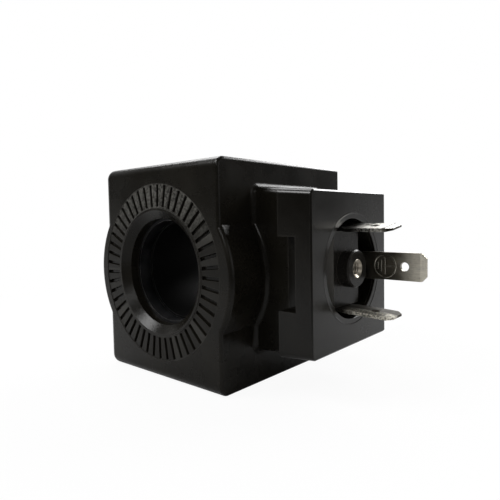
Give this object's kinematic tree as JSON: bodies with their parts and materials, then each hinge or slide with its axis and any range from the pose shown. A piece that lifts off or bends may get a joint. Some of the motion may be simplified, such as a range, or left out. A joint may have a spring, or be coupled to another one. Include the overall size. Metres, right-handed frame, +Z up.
{
  "type": "solenoid valve coil",
  "caption": "Square encapsulated solenoid coil with a through bore, a serrated locking ring on its front and a raised plug base with flat contact blades on one side.",
  "frame": {"origin": "on the axis of the armature bore, half way between the front and rear faces", "axes": "+Y along the bore towards the rear face, so the serrated front face looks to -Y; +X towards the plug face; +Z up, with the casing standing on its -Z side"},
  "size_m": [0.0753, 0.048, 0.051],
  "materials": {
    "casing_resin": "satin",
    "head_plastic": "fine grain",
    "carrier_plastic": "fine grain",
    "bobbin_plastic": "moulded",
    "circuit_steel": "dark zinc plate",
    "tinned_contact": "tin plate",
    "plated_brass": "nickel plate",
    "enamelled_wire": "enamelled",
    "solder": "satin",
    "tape": "film",
    "sleeving": "matte"
  },
  "bodies": {
    "root": {"encapsulation": "casing_resin", "plug_head": "head_plastic", "contact_carrier": "carrier_plastic", "screw_insert": "plated_brass", "blade_line": "tinned_contact", "blade_neutral": "tinned_contact", "blade_earth": "tinned_contact", "bobbin": "bobbin_plastic", "winding": "enamelled_wire", "winding_tape": "tape", "lead_start": "enamelled_wire", "lead_finish": "enamelled_wire", "sleeve_start": "sleeving", "sleeve_finish": "sleeving", "solder_start": "solder", "solder_finish": "solder", "earth_strap": "tinned_contact", "pole_plate_front": "circuit_steel", "pole_plate_rear": "circuit_steel", "return_plate_top": "circuit_steel", "return_plate_bottom": "circuit_steel"}
  },
  "joints": []
}
